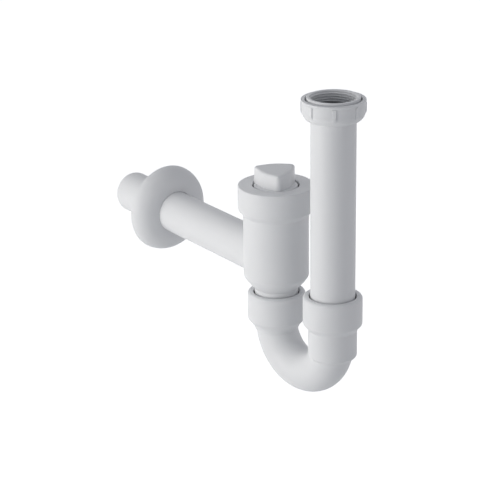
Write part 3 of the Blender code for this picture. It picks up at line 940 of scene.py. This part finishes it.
def moulded_material(name, colour, shade, roughness, grain, glow):
    """A Principled material that takes its colour, roughness and bump from the group."""
    material = bpy.data.materials.new(name)
    material.use_nodes = True
    material.diffuse_color = (*colour, 1)
    nodes, links = material.node_tree.nodes, material.node_tree.links
    shader = nodes["Principled BSDF"]
    shader.inputs["IOR"].default_value = PLASTIC_IOR
    shader.inputs["Specular IOR Level"].default_value = GLOSS_LEVEL
    shader.inputs["Subsurface Weight"].default_value = glow
    shader.inputs["Subsurface Radius"].default_value = (1, 1, 1)
    shader.inputs["Subsurface Scale"].default_value = GLOW_REACH * MM
    made = nodes.new("ShaderNodeGroup")
    made.node_tree = surface
    made.inputs["Colour"].default_value = (*colour, 1)
    made.inputs["Shade"].default_value = (*shade, 1)
    made.inputs["Roughness"].default_value = roughness
    bump = nodes.new("ShaderNodeBump")
    bump.inputs["Strength"].default_value = grain
    bump.inputs["Distance"].default_value = GRAIN_HEIGHT * MM
    links.new(made.outputs["Colour"], shader.inputs["Base Color"])
    links.new(made.outputs["Roughness"], shader.inputs["Roughness"])
    links.new(made.outputs["Height"], bump.inputs["Height"])
    links.new(bump.outputs["Normal"], shader.inputs["Normal"])
    return material


white_plastic = moulded_material(
    "White plastic",
    colour=(0.736, 0.745, 0.758),
    shade=(0.722, 0.731, 0.744),
    roughness=0.45,
    grain=0.10,
    glow=0.4,
)
black_rubber = moulded_material(
    "Black rubber",
    colour=(0.030, 0.030, 0.031),
    shade=(0.022, 0.022, 0.023),
    roughness=0.62,
    grain=0.35,
    glow=0,
)
white_pieces = [body_shell, plug_shell, bend_shell, tube_shell, nut_shell, rosette_shell]
for material, pieces in ((white_plastic, white_pieces), (black_rubber, rubber)):
    for piece in pieces:
        piece.data.materials.clear()
        piece.data.materials.append(material)
    print(material.name, "on", len(pieces), "pieces")

# %% [markdown]
# ## The background
#
# The photograph's background is plain white, far brighter than the soft light that reaches the
# trap. Turning the world up to white would wash the trap out, so Light Path tells the rays apart:
# those from the camera, from a gloss or through glass see white, and the rest see the soft light.

# %% White all round
SOFT_LIGHT = 0.402
SOFT_COLOUR = (0.92, 0.94, 1.0, 1)
WHITE = (1, 1, 1, 1)


def sees_background(tree, strength):
    """A value for rays that look at the background itself, and 0 for all others."""
    path = tree.nodes.new("ShaderNodeLightPath")
    value = path.outputs["Is Camera Ray"]
    for ray in ("Is Glossy Ray", "Is Transmission Ray"):
        either = tree.nodes.new("ShaderNodeMath")
        either.operation = "MAXIMUM"
        tree.links.new(value, either.inputs[0])
        tree.links.new(path.outputs[ray], either.inputs[1])
        value = either.outputs[0]
    scaled = tree.nodes.new("ShaderNodeMath")
    scaled.operation = "MULTIPLY"
    scaled.inputs[1].default_value = strength
    tree.links.new(value, scaled.inputs[0])
    return scaled.outputs[0]


world = bpy.data.worlds.new("Studio")
bpy.context.scene.world = world
world.use_nodes = True
tree = world.node_tree
soft = tree.nodes["Background"]
soft.inputs["Color"].default_value = SOFT_COLOUR
soft.inputs["Strength"].default_value = SOFT_LIGHT
white = tree.nodes.new("ShaderNodeBackground")
white.inputs["Color"].default_value = WHITE
white.inputs["Strength"].default_value = 1.0
mix = tree.nodes.new("ShaderNodeMixShader")
tree.links.new(sees_background(tree, 1.0), mix.inputs["Fac"])
tree.links.new(soft.outputs["Background"], mix.inputs[1])
tree.links.new(white.outputs["Background"], mix.inputs[2])
tree.links.new(mix.outputs["Shader"], tree.nodes["World Output"].inputs["Surface"])
print("soft light:", SOFT_LIGHT, "of the white that the camera sees")

# %% [markdown]
# ## The floor
#
# The trap hangs free, as it does on a wall, so the pale floor lies well below it. The floor is
# matte and glows only for the same rays, on top of the light that falls on it. So it looks as
# white as the background and still keeps the trap's faint shadow.

# %% The pale floor
FLOOR_Z = -0.34
FLOOR_SIZE = 14
FLOOR_COLOUR = (0.85, 0.86, 0.87, 1)
FLOOR_ROUGHNESS = 0.9
FLOOR_GLOW = 0.66

bpy.ops.mesh.primitive_plane_add(size=FLOOR_SIZE, location=(0, 0, FLOOR_Z))
floor = bpy.context.object
floor.name = "floor"
pale = bpy.data.materials.new("Pale floor")
pale.use_nodes = True
tree = pale.node_tree
matte = tree.nodes["Principled BSDF"]
matte.inputs["Base Color"].default_value = FLOOR_COLOUR
matte.inputs["Roughness"].default_value = FLOOR_ROUGHNESS
matte.inputs["Emission Color"].default_value = WHITE
tree.links.new(sees_background(tree, FLOOR_GLOW), matte.inputs["Emission Strength"])
floor.data.materials.append(pale)
print("floor", round(-FLOOR_Z, 2), "m below the outlet's axis")

# %% [markdown]
# ## The light
#
# The photograph has a large soft light on the left, almost level with the object, and pale
# surfaces all round that fill the shadows. Four large area lamps stand for them. The light from
# above is weak, so the tops of the pieces are greyer than their left sides. No lamp is seen by
# the camera.

# %% Lamps
MIDDLE = Vector((0.2, 0, 0.02))
LAMP_DISTANCE = 1.6
LAMP_SIZE = 1.1


def lamp(name, azimuth, elevation, power, colour):
    """A square area lamp that looks at the middle of the object."""
    data = bpy.data.lights.new(name, "AREA")
    data.size = LAMP_SIZE
    data.energy = power
    data.color = colour
    light = bpy.data.objects.new(name, data)
    bpy.context.scene.collection.objects.link(light)
    a, e = math.radians(azimuth), math.radians(elevation)
    away = Vector((math.sin(a) * math.cos(e), -math.cos(a) * math.cos(e), math.sin(e)))
    light.location = MIDDLE + away * LAMP_DISTANCE
    light.rotation_mode = "QUATERNION"
    light.rotation_quaternion = away.to_track_quat("Z", "Y")
    light.visible_camera = False
    print(name, "lamp:", power, "W from", azimuth, "degrees round and", elevation, "up")


lamp("key", -10, 2, 17.4, (1, 0.977, 0.936))
lamp("upper left", -60, 35, 1.9, (1, 0.97, 0.93))
lamp("right", 125, 2, 2.7, (1, 0.94, 0.90))
lamp("top", 55, 85, 0.55, (1, 0.96, 0.94))

# %% [markdown]
# ## The camera
#
# The camera stands where the photographer stood: it was worked out from the edges of the
# photograph, with a long lens, looking down by about twenty degrees. It is built looking along Y,
# rolled by less than a degree, moved back from the plug's top and then swung round it.

# %% Camera
PITCH_DOWN = math.radians(20.296)
ROLL = math.radians(-0.801)
AZIMUTH = math.radians(55.14)
SENSOR, LENS = 36, 141.56
PIVOT = (0.2455, 0, 0.073)
STANDS = (-0.03286, -1.6093, 0.54205)

data = bpy.data.cameras.new("camera")
data.sensor_width = SENSOR
data.lens = LENS
camera = bpy.data.objects.new("camera", data)
bpy.context.scene.collection.objects.link(camera)
bpy.context.scene.camera = camera
level_right = Vector((1, 0, 0))
up = Vector((0, math.sin(PITCH_DOWN), math.cos(PITCH_DOWN)))
forward = Vector((0, math.cos(PITCH_DOWN), -math.sin(PITCH_DOWN)))
rolled_right = math.cos(ROLL) * level_right + math.sin(ROLL) * up
rolled_up = -math.sin(ROLL) * level_right + math.cos(ROLL) * up
facing = Matrix((rolled_right, rolled_up, -forward)).transposed().to_4x4()
orbit = Matrix.Translation(PIVOT) @ Matrix.Rotation(AZIMUTH, 4, "Z")
camera.matrix_world = orbit @ Matrix.Translation(STANDS) @ facing
bpy.context.scene.view_settings.view_transform = "Standard"
print("camera at", [round(c, 3) for c in camera.matrix_world.translation])
